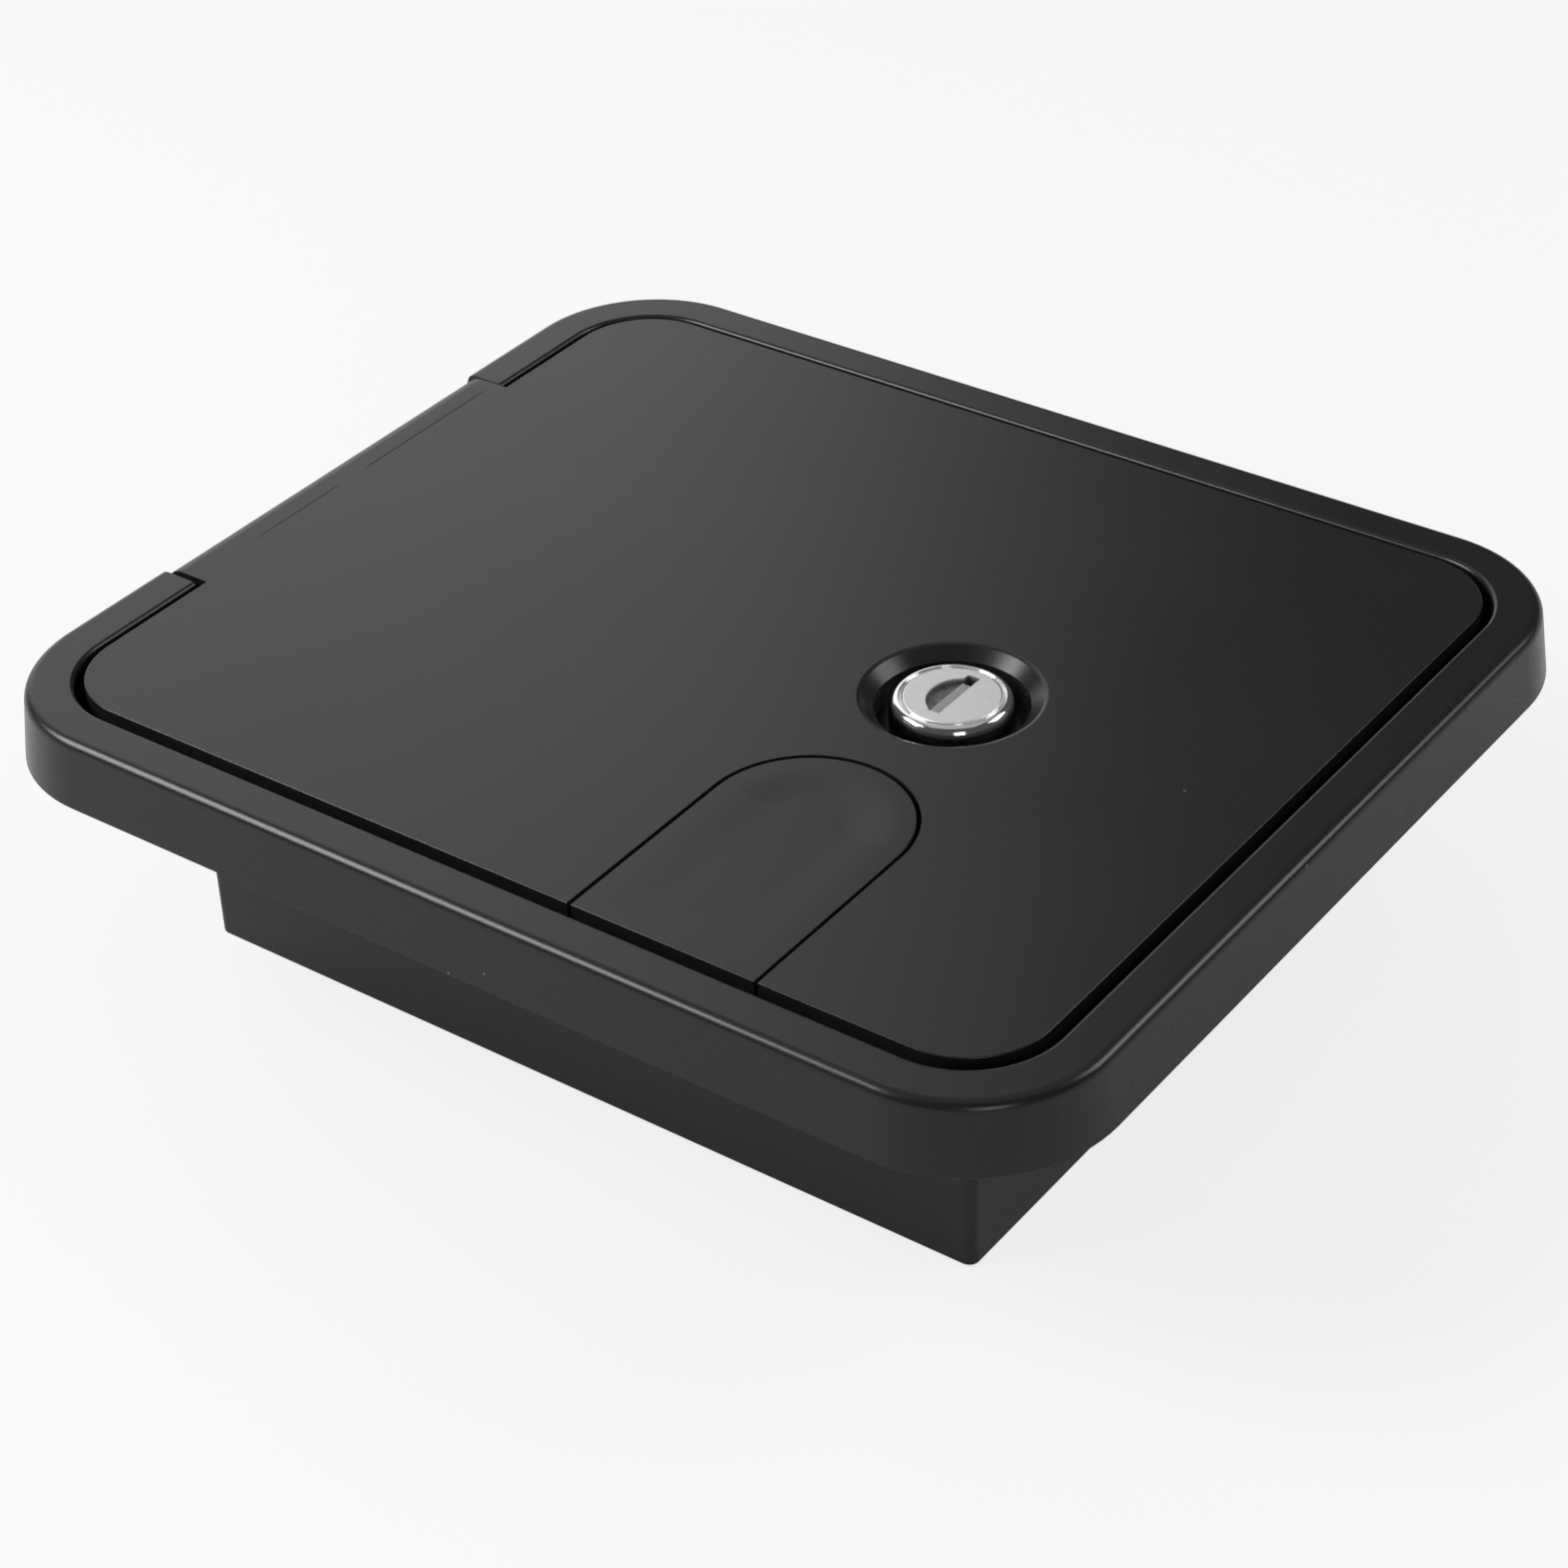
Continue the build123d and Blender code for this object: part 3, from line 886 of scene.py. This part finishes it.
def leaf_rows():
    """Sections of the hinge leaf along its knuckle, with a shallow crease that breaks off in the middle."""
    back = math.degrees(math.asin((door_back - hinge.z) / knuckle_radius))
    knuckle = arc((hinge.x, hinge.z), knuckle_radius, 90, 360 + back, 3 * corner_steps)
    root = -door_half[0] + leaf_root
    crease_x = hinge.x + crease_place
    rows = []
    for y, depth in (
        (-leaf_half, 0), (crease_start - leaf_half, 0), (2 * crease_start - leaf_half, 1),
        (-2 * crease_break, 1), (-crease_break, 0), (crease_break, 0), (2 * crease_break, 1),
        (leaf_half - 2 * crease_break, 1), (leaf_half - crease_break, 0), (leaf_half, 0),
    ):
        crease = [
            (crease_x + crease_width, door_face), (crease_x, door_face - depth * crease_depth),
            (crease_x - crease_width, door_face),
        ]
        section = [(root, door_back), (root, door_face), *crease, *knuckle]
        rows.append([Vector((x, y, z)) for x, z in section])
    return rows


def on_u(point, half_width):
    """True for a point on the cord outlet's U of that half width."""
    if point.y > tilt.y:
        return abs(math.hypot(point.x - tilt.x, point.y - tilt.y) - half_width) < curve_tolerance
    return abs(abs(point.x - tilt.x) - half_width) < curve_tolerance


def door_panel():
    """Tray-shaped door with its hinge leaf, ribs, lock pocket and cord outlet."""
    outline = (*door_half, door_corner)
    section = [
        *arc((skirt_wall + small_edge, door_back - small_edge), small_edge, 90, 180),
        *arc((skirt_wall - small_edge, skirt_foot + small_edge), small_edge, 0, -90),
        *arc((small_edge, skirt_foot + small_edge), small_edge, 270, 180),
        *arc((door_edge, door_face - door_edge), door_edge, 180, 90),
    ]
    panel = skin("door_panel", rectangle_rows(outline, section))
    leaf = skin("hinge_leaf", leaf_rows())

    # Ribs, boss and ears on the back
    rib_middle = door_back - rib_height / 2 + small_edge
    rib_tall = rib_height + 2 * small_edge
    long_rib = (2 * door_half[0] - skirt_wall, rib_thickness, rib_tall)
    cross_rib = (rib_thickness, 2 * door_half[1] - skirt_wall, rib_tall)
    third = 2 * door_half[0] / 3
    long_ribs = rib_row("long_ribs", 2, (0, 0, rib_middle), (0, door_half[1] / 2, 0), long_rib)
    hinge_ribs = rib_row("hinge_ribs", 2, (-third, 0, rib_middle), (third / 2, 0, 0), cross_rib)
    lock_rib = rib_row("lock_rib", 1, (third, 0, rib_middle), (third, 0, 0), cross_rib)
    boss_radius = pocket_throat + pocket_wall
    boss_section = (
        *arc((boss_radius - small_edge, boss_foot + small_edge), small_edge, -90, 0),
        (boss_radius, door_back + small_edge),
    )
    boss = skin("lock_boss", turned_rows(boss_section))
    pin_half = flap_half + flap_slit + tilt_pin_grip
    ear_foot = door_face - ear_drop
    ear_top = door_back + small_edge
    ear_row = rib_row(
        "flap_ears", 2, (tilt.x - pin_half - ear_wall / 2, tilt.y, (ear_foot + ear_top) / 2),
        (2 * pin_half + ear_wall, 0, 0),
        (2 * tilt_pin_grip + ear_wall, ear_length, ear_top - ear_foot),
    )
    combine(panel, "UNION", leaf, long_ribs, hinge_ribs, lock_rib, boss, ear_row)

    # Funnel-mouthed pocket, hole for the barrel, cord outlet and bores
    slope = (pocket_rim - pocket_throat) / pocket_bevel
    pocket = skin("lock_pocket", turned_rows((
        (pocket_rim + slope * over, door_face + over), (pocket_throat, door_face - pocket_bevel),
        (pocket_throat, pocket_base),
    )))
    hole = skin("barrel_hole", [
        flatted_circle(barrel_radius + barrel_fit, barrel_flat + barrel_fit, z)
        for z in (boss_foot - over, pocket_base + over)
    ])
    outlet_half = flap_half + flap_slit
    outlet = skin("cord_outlet", [
        u_loop(outlet_half, -door_half[1] - border, z) for z in (boss_foot - over, door_face + over)
    ])
    hinge_bore = rod(
        "hinge_bore", hinge, half_size("hinge_pin", "X") + pin_fit, "Y", leaf_half + over, pin_fit
    )
    tilt_bore = rod("tilt_bore", tilt, half_size("flap_pin", "Z") + pin_fit, "X", pin_half, pin_fit)
    combine(panel, "DIFFERENCE", pocket, hole, outlet, hinge_bore, tilt_bore)

    def on_face(point):
        return abs(point.z - door_face) < face_tolerance

    def on_pocket_rim(point):
        return abs(math.hypot(point.x - lock.x, point.y) - pocket_rim) < curve_tolerance

    def on_leaf_end(point):
        return abs(abs(point.y) - leaf_half) < face_tolerance and point.x < -door_half[0] - leaf_clear

    soften(panel, pocket_edge, lambda point: on_face(point) and on_pocket_rim(point), 4)
    soften(panel, slit_edge, lambda point: on_face(point) and on_u(point, outlet_half))
    soften(panel, small_edge, on_leaf_end)
    hand_over(panel, "door", black_plastic, "black_plastic", "door")


def lock_housing():
    """Chromed head with a rounded crown, and the threaded barrel with its two flats."""
    face = head_high.z
    head_radius = (head_high.x - head_low.x) / 2
    bore_radius = plug_radius + plug_fit
    sink_radius = (plug_high.x - plug_low.x) / 2 + plug_fit
    seat = face - face_thickness - barrel_fit
    # Lip round the core, a fine groove outside it and the shoulder of the crown
    ring_level = face - crown_lip
    groove_middle = sink_radius + 2 * crown_lip + crown_groove / 2
    crown_start = groove_middle + crown_groove / 2 + crown_lip
    rings = [
        *arc((sink_radius + crown_lip, ring_level), crown_lip, 180, 0, 2 * edge_steps),
        *arc((groove_middle, ring_level), crown_groove / 2, 180, 360, 2 * edge_steps),
        *arc((crown_start, ring_level), crown_lip, 180, 90),
    ]
    # Crown: a quarter of an ellipse from the shoulder down to the head's side
    crown = [
        (crown_start + (head_radius - crown_start) * across, face - crown_drop * (1 - rise))
        for across, rise in arc((0, 0), 1.0, 90, 0, 4 * edge_steps)
    ]
    foot = arc((head_radius - small_edge, pocket_base + small_edge), small_edge, 0, -90)
    rows = turned_rows([(bore_radius, seat), (sink_radius, seat), *rings, *crown, *foot])
    # Thread: a zigzag that climbs once round for each turn, and fades in below the head
    length = pocket_base - head_low.z
    levels = thread_steps * round(length / thread_pitch)
    for level in range(levels + 1):
        depth = length * level / levels
        z = pocket_base - depth
        fade = min(1.0, max(0.0, (depth - thread_clear) / thread_pitch))
        taper = max(0.0, thread_pitch - (length - depth))
        row = []
        for index, point in enumerate(circle((0, 0, z), 1.0)):
            phase = (depth / thread_pitch + index / circle_steps) % 1.0
            radius = barrel_radius - fade * thread_depth * abs(2 * phase - 1) - taper
            flat = max(-barrel_flat, min(barrel_flat, radius * point.y))
            row.append(Vector((lock.x + radius * point.x, flat, z)))
        rows.append(row)
    rows += turned_rows([
        (bore_radius + small_edge, head_low.z), (bore_radius, head_low.z + small_edge),
    ])
    housing = skin("chrome_lock_housing", rows, closed=True)
    hand_over(housing, "door", chrome, "chrome", "lock_housing")


def lock_nut():
    """Hexagon nut with the turned bevel on its corners."""
    flats = (nut_high.y - nut_low.y) / 2
    bore_radius = barrel_radius + barrel_fit

    def hexagon(depth, z):
        """Hexagon whose corners are cut back by the bevel at a depth below the nut's face."""
        limit = flats - nut_chamfer + nut_bevel_slope * depth
        loop = []
        for point in circle((0, 0, z), 1.0):
            turn = math.atan2(point.y, point.x)
            away = turn % (math.pi / 3) - math.pi / 6
            radius = min(flats / math.cos(away), limit)
            loop.append(Vector((lock.x + radius * point.x, radius * point.y, z)))
        return loop

    rows = [hexagon(depth, nut_low.z + depth) for depth in nut_bevel_depths]
    rows += [hexagon(depth, nut_high.z - depth) for depth in reversed(nut_bevel_depths)]
    rows += turned_rows([
        (bore_radius + small_edge, nut_high.z), (bore_radius, nut_high.z - small_edge),
        (bore_radius, nut_low.z + small_edge), (bore_radius + small_edge, nut_low.z),
    ])
    hand_over(skin("hexagon_nut", rows, closed=True), "door", zinc_steel, "steel", "lock_nut")


# Lock core body

def lock_plug():
    """Turning core: round-edged face with key slot and half-moon lead-in, and the square shank behind."""
    face = plug_high.z
    face_radius = (plug_high.x - plug_low.x) / 2
    end = cam_high.z
    section = [
        (plug_radius, end), (plug_radius, face - face_thickness), (face_radius, face - face_thickness),
        *arc((face_radius - face_edge, face - face_edge), face_edge, 0, 90),
    ]
    plug = skin("lock_core_plug", turned_rows(section))
    half = shank_side / 2
    shank = block(
        "cam_shank", (lock.x - half, -half, end - shank_length), (lock.x + half, half, end + small_edge)
    )
    combine(plug, "UNION", shank)
    width, length, depth = key_slot
    slot = block(
        "key_slot", (lock.x - width / 2, key_slot_shift - length / 2, face - depth),
        (lock.x + width / 2, key_slot_shift + length / 2, face + over),
    )
    chord = lock.x - width / 2
    bulge = (lead_in_length ** 2 / 4 + lead_in_width ** 2) / (2 * lead_in_width)
    reach = math.degrees(math.asin(lead_in_length / 2 / bulge))
    bow = arc((chord - lead_in_width + bulge, 0), bulge, 180 - reach, 180 + reach, 4 * edge_steps)
    moon_outline = [*bow, (lock.x, -lead_in_length / 2), (lock.x, lead_in_length / 2)]
    lead_in = plate("lead_in", moon_outline, face - lead_in_depth, face + over)
    tap_radius = screw_radius + plug_fit
    tap_ends = (end - shank_length - over, screw_high.z + plug_fit)
    tap = skin("screw_tap", turned_rows([(tap_radius, z) for z in tap_ends]))
    combine(plug, "DIFFERENCE", slot, lead_in, tap)
    hand_over(plug, "lock_core", satin_nickel, "satin_nickel", "lock_plug")


def key_shutter():
    """Small grey bar that closes the key slot."""
    bar = block("slot_shutter", shutter_low, shutter_high)
    soften(bar, shutter_edge, lambda point: point.z > shutter_high.z - face_tolerance, 3)
    hand_over(bar, "lock_core", shutter_steel, "steel", "key_shutter")


def lock_cam():
    """Stamped steel lever with a square hole."""
    outline = arc((lock.x, 0), cam_heel, 180, 360, 2 * corner_steps)
    corner_x = cam_tip_width / 2 - cam_tip_corner
    corner_y = cam_high.y - cam_tip_corner
    for side, start in ((1, 0), (-1, 90)):
        middle = (lock.x + side * corner_x, corner_y)
        outline += arc(middle, cam_tip_corner, start, start + 90, 2 * edge_steps)
    lever = plate("cam_lever", outline, cam_low.z, cam_high.z)
    half = shank_side / 2 + cam_fit
    hole = block(
        "shank_hole", (lock.x - half, -half, cam_low.z - over), (lock.x + half, half, cam_high.z + over)
    )
    combine(lever, "DIFFERENCE", hole)
    soften(lever, stamped_edge, lambda point: True)
    hand_over(lever, "lock_core", zinc_steel, "steel", "lock_cam")


def cam_washer():
    """Flat washer with a rounded rim."""
    low, high = washer_low.z, washer_high.z
    radius = (washer_high.x - washer_low.x) / 2
    bore_radius = screw_radius + cam_fit
    edge = stamped_edge
    section = [
        *arc((radius - edge, low + edge), edge, -90, 0),
        *arc((radius - edge, high - edge), edge, 0, 90),
        (bore_radius + edge, high), (bore_radius, high - edge),
        (bore_radius, low + edge), (bore_radius + edge, low),
    ]
    washer = skin("flat_washer", turned_rows(section), closed=True)
    hand_over(washer, "lock_core", zinc_steel, "steel", "cam_washer")


def cam_screw():
    """Pan-head screw with a cross recess."""
    top = washer_low.z
    pan_radius = (screw_high.x - screw_low.x) / 2
    dome_height = top - pan_wall - screw_low.z
    dome = [
        (pan_radius * across, top - pan_wall - dome_height * rise)
        for across, rise in arc((0, 0), 1.0, 0, dome_turn, dome_steps)
    ]
    section = [
        *reversed(dome), (pan_radius, top), (screw_radius, top),
        (screw_radius, screw_high.z - screw_tip), (screw_tip, screw_high.z),
    ]
    screw = skin("pan_head_screw", turned_rows(section))
    rows = []
    for depth, share in ((-over, recess_flare), (recess_depth, recess_taper)):
        arm, half = recess_arm * share, recess_width / 2 * share
        corner = [(arm, -half), (arm, half), (half, half)]
        cross = []
        for quarter in range(4):
            turn = Matrix.Rotation(math.radians(90 * quarter), 2)
            cross += [turn @ Vector(point) for point in corner]
        rows.append([Vector((lock.x + x, y, screw_low.z + depth)) for x, y in cross])
    combine(screw, "DIFFERENCE", skin("cross_recess", rows))
    hand_over(screw, "lock_core", zinc_steel, "steel", "cam_screw")


# Cord flap body

def cord_flap():
    """U-shaped flap with a finger dish that runs out at its foot, and ribs, tilt tube and stop tongue."""
    foot = flap_low.y
    rows = [u_loop(flap_half, foot, door_back)]
    for step in range(edge_steps + 1):
        turn = math.radians(90 * step / edge_steps)
        side, lip = 1 - math.cos(turn), 1 - math.sin(turn)
        rows.append(u_loop(
            flap_half - flap_edge * side, foot + door_edge * side,
            door_face - flap_edge * lip, door_face - door_edge * lip,
        ))
    for step in range(dish_steps + 1):
        share = step / dish_steps
        inset = dish_start + (dish_end - dish_start) * share
        drop = dish_depth * share * share * (3 - 2 * share)
        loop = u_loop(flap_half - inset, foot + inset, door_face)
        rise = Vector((0, 0, drop / (tilt.y + flap_half - foot)))
        rows.append([point - rise * (point.y - foot) for point in loop])
    flap = skin("cord_outlet_flap", rows)
    root_top = door_back + small_edge
    kerb = block(
        "flap_foot", (tilt.x - flap_half, foot, skirt_foot),
        (tilt.x + flap_half, foot + skirt_wall, root_top),
    )
    rib_foot = door_back - rib_height / 2
    rib_middle = ((foot + skirt_wall / 2 + tilt.y) / 2, (rib_foot + root_top) / 2)
    ribs = rib_row(
        "flap_ribs", 2, (tilt.x - flap_rib_spacing / 2, *rib_middle), (flap_rib_spacing, 0, 0),
        (rib_thickness, tilt.y - foot - skirt_wall, root_top - rib_foot),
    )
    tube = rod("tilt_tube", tilt, tilt_tube, "X", flap_half, small_edge)
    tongue_half = tongue_width / 2
    tongue_start = flap_high.y - 2 * tongue_reach - flap_slit
    tongue_top = door_back - tongue_clearance
    tongue = block(
        "stop_tongue", (tilt.x - tongue_half, tongue_start, tongue_top - tongue_thickness),
        (tilt.x + tongue_half, flap_high.y, tongue_top),
    )
    spacer_half = tongue_half - small_edge
    spacer_start = tilt.y + flap_half - tongue_reach
    spacer = block(
        "tongue_root", (tilt.x - spacer_half, spacer_start + small_edge, tongue_top - small_edge),
        (tilt.x + spacer_half, spacer_start + tongue_reach / 2, root_top),
    )
    combine(flap, "UNION", kerb, ribs, tube, tongue, spacer)
    bore = rod("tube_bore", tilt, half_size("flap_pin", "Z") + pin_fit, "X", flap_half + over, pin_fit)
    combine(flap, "DIFFERENCE", bore)
    hand_over(flap, "cord_flap", black_plastic, "black_plastic", "cord_flap")


frame_moulding()
weather_seal()
pin("hinge_rod", "hinge_pin", "frame", "Y")
door_panel()
lock_housing()
lock_nut()
pin("flap_rod", "flap_pin", "door", "X")
lock_plug()
key_shutter()
lock_cam()
cam_washer()
cam_screw()
cord_flap()


# Studio

def camera():
    """Camera at the photograph's angle, at its distance and with its small roll."""
    back = Vector((
        math.sin(view_azimuth) * math.cos(view_elevation),
        -math.cos(view_azimuth) * math.cos(view_elevation),
        math.sin(view_elevation),
    ))
    level = Vector((math.cos(view_azimuth), math.sin(view_azimuth), 0))
    upright = back.cross(level)
    right = math.cos(view_roll) * level + math.sin(view_roll) * upright
    up = -math.sin(view_roll) * level + math.cos(view_roll) * upright
    place = (view_aim + view_distance * back) * MILLIMETRE
    lens = bpy.data.cameras.new("photo_camera")
    lens.lens = view_lens
    lens.clip_start = view_near * MILLIMETRE
    viewer = bpy.data.objects.new("photo_camera", lens)
    viewer.matrix_world = Matrix((
        (right.x, up.x, back.x, place.x),
        (right.y, up.y, back.y, place.y),
        (right.z, up.z, back.z, place.z),
        (0, 0, 0, 1),
    ))
    bpy.context.scene.collection.objects.link(viewer)
    bpy.context.scene.camera = viewer


def floor():
    """Wide pale floor that shows white and keeps the shadow."""
    corners = [(x * floor_half, y * floor_half, 0) for x, y in ((-1, -1), (1, -1), (1, 1), (-1, 1))]
    plane = new_piece("pale_floor", corners, [(0, 1, 2, 3)])
    plane.data.transform(Matrix.Scale(MILLIMETRE, 4))
    material, tree = new_finish("white_paper", {"Base Color": grey(0.75), "Roughness": 0.9})[:2]
    ray = {
        kind: tree.node("ShaderNodeLightPath", output=f"Is {kind} Ray")
        for kind in ("Camera", "Glossy", "Transmission")
    }
    seen = ray["Camera"] * floor_white + (ray["Glossy"] + ray["Transmission"]) * floor_mirrored
    # Painted shade: the white fades out under the sleeve's foot, so the floor is darker there
    outside = []
    for axis, half in zip("XY", sleeve_half):
        edge = half * MILLIMETRE
        place = tree.node("ShaderNodeSeparateXYZ", None, {0: tree.place()}, axis)
        outside.append(tree.fade(place * place, (edge * foot_shade) ** 2, edge ** 2))
    clear = outside[0] + outside[1] - outside[0] * outside[1]
    glow = tree.node("ShaderNodeEmission", None, {"Color": grey(1.0), "Strength": 1.0})
    nodes = material.node_tree.nodes
    paper = Wire(tree, nodes["Principled BSDF"].outputs[0])
    blend = tree.node("ShaderNodeMixShader", None, {0: seen * clear, 1: paper, 2: glow})
    tree.plug(nodes["Material Output"].inputs["Surface"], blend)
    plane.data.materials.append(material)


def softbox(name, turn, height, distance, size, power):
    """Soft light of a width and height that looks at the door from a turn and a height in degrees."""
    aim = Vector((0, 0, door_face)) * MILLIMETRE
    turn, height = math.radians(turn), math.radians(height)
    away = Vector((math.cos(turn) * math.cos(height), math.sin(turn) * math.cos(height), math.sin(height)))
    lamp = bpy.data.lights.new(name, "AREA")
    lamp.shape = "RECTANGLE"
    lamp.size, lamp.size_y = size
    lamp.energy = power
    light = bpy.data.objects.new(name, lamp)
    light.location = aim + away * distance
    light.rotation_euler = away.to_track_quat("Z", "Y").to_euler()
    bpy.context.scene.collection.objects.link(light)


def surroundings():
    """White horizon, a bright wall on the left of the view and a dim room on its right."""
    world = bpy.data.worlds.new("pale_studio")
    world.use_nodes = True
    bpy.context.scene.world = world
    tree = Shader(world.node_tree)
    heading = tree.node("ShaderNodeTexCoord", output="Generated")
    height = tree.node("ShaderNodeSeparateXYZ", None, {0: heading}, "Z")

    def past(azimuth):
        """How far a heading lies past an upright edge at an azimuth in degrees."""
        turn = math.radians(azimuth + 90)
        beyond = (math.cos(turn), math.sin(turn), 0)
        return tree.node(
            "ShaderNodeVectorMath", {"operation": "DOT_PRODUCT"}, {0: heading, 1: beyond}, "Value"
        )

    begun = tree.fade(past(wall_start), -wall_start_blend, wall_start_blend)
    ended = tree.fade(past(wall_end), -wall_end_blend, wall_end_blend)
    risen = tree.fade(height, *wall_top)
    room = tree.mix(begun * (1 - ended) * (1 - risen), grey(room_grey), grey(wall_grey))
    background = world.node_tree.nodes["Background"]
    tree.plug(background.inputs["Color"], tree.mix(tree.fade(height, *horizon_top), grey(1.0), room))
    background.inputs["Strength"].default_value = 1.0


camera()
floor()
surroundings()
softbox("left_softbox", turn=219, height=37, distance=1.2, size=(0.66, 0.48), power=13.0)
softbox("right_softbox", turn=44, height=36, distance=1.2, size=(0.56, 0.46), power=4.2)
softbox("front_lamp", turn=318, height=22, distance=1.0, size=(0.28, 0.30), power=1.3)
softbox("top_softbox", turn=127, height=80, distance=1.4, size=(1.6, 1.6), power=3.0)
bpy.context.scene.view_settings.view_transform = "Standard"
